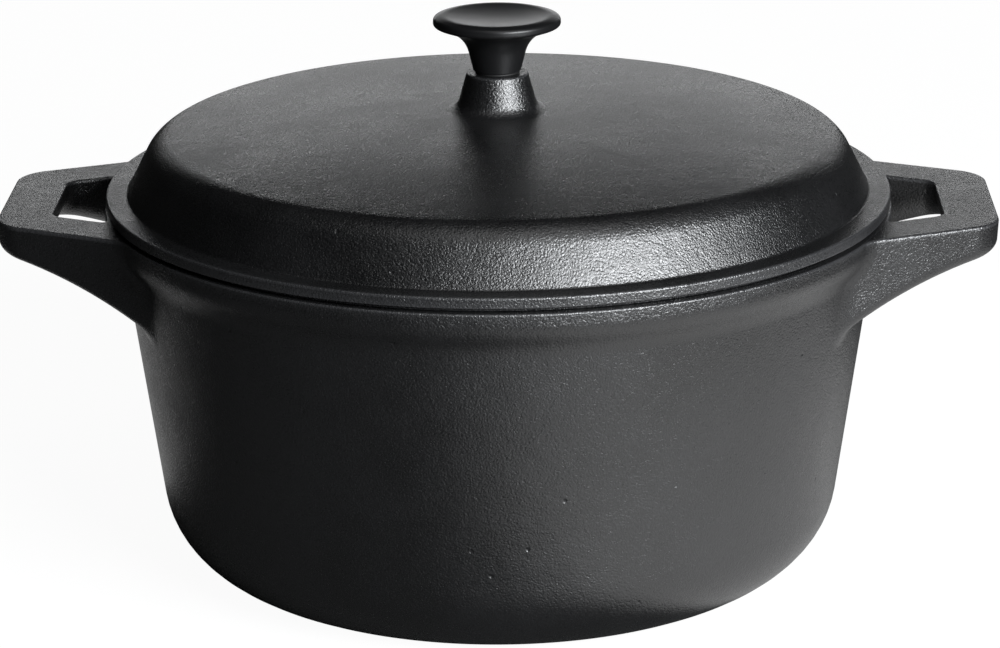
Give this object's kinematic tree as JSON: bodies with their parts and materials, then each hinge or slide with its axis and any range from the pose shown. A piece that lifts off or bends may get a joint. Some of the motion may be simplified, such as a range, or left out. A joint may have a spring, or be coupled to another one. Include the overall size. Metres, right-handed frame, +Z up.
{
  "type": "dutch oven",
  "caption": "Round cast iron dutch oven with loop handles and a domed lid that lifts off; its knob is held by a screw from below.",
  "frame": {"origin": "centre of the base, on the surface the pot stands on", "axes": "+Z up along the pot's axis, +X along the line through the two handles"},
  "size_m": [0.366, 0.291, 0.2078],
  "materials": {
    "pot_iron": "satin sand-cast skin, seasoned",
    "lid_iron": "satin sand-cast skin, seasoned",
    "knob_phenolic": "smooth satin",
    "insert_brass": "machined",
    "gasket": "matte",
    "fastener_steel": "machined stainless"
  },
  "bodies": {
    "pot": {"pot": "pot_iron"},
    "lid": {"lid": "lid_iron", "knob_gasket": "gasket", "flat_washer": "fastener_steel", "spring_washer": "fastener_steel"},
    "screw": {"knob_screw": "fastener_steel"},
    "knob": {"knob": "knob_phenolic", "knob_insert": "insert_brass"}
  },
  "joints": [
    {"name": "lid_lift", "type": "slide", "parent": "pot", "child": "lid", "axis": [0, 0, 1], "range_m": [0, 0.16]},
    {"name": "screw_turn", "type": "hinge", "parent": "lid", "child": "screw", "pos_m": [0, 0, 0.175], "axis": [0, 0, -1], "range_deg": [0, 2880]},
    {"name": "knob_rise", "type": "slide", "parent": "lid", "child": "knob", "axis": [0, 0, 1], "range_m": [0, 0.008]}
  ],
  "couplings": [
    {"joint": "screw_turn", "follows": "knob_rise", "rad_per_m": 6283.2}
  ]
}
